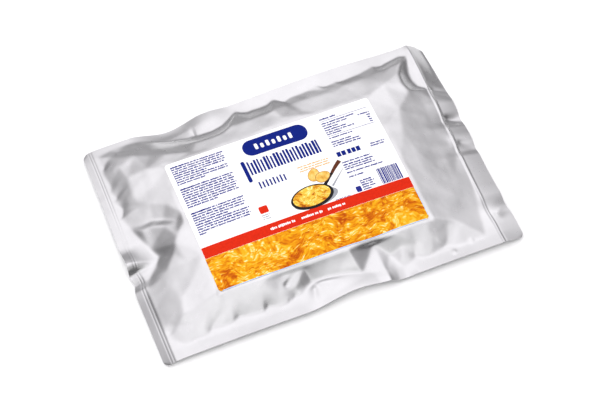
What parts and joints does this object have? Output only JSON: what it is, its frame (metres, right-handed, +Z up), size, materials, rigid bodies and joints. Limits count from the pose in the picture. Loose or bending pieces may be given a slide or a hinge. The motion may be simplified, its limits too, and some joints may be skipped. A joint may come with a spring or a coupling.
{
  "type": "foil catering pouch of potato rosti",
  "caption": "Flat, filled foil pouch lying down, welded on four sides with puckered film and thin flanges, and a rectangular printed label on its upper face.",
  "frame": {"origin": "middle of the pouch's outline, on the plane that its underside rests on", "axes": "+X along the pouch towards the filling end with the wide weld, +Y towards the label's upper edge, +Z up out of the label"},
  "size_m": [0.4094, 0.276, 0.0332],
  "materials": {
    "foil": "satin silver foil laminate",
    "label_paper": "smooth coated white paper with printed fields"
  },
  "bodies": {
    "root": {"pouch": "foil", "label": "label_paper"}
  },
  "joints": []
}
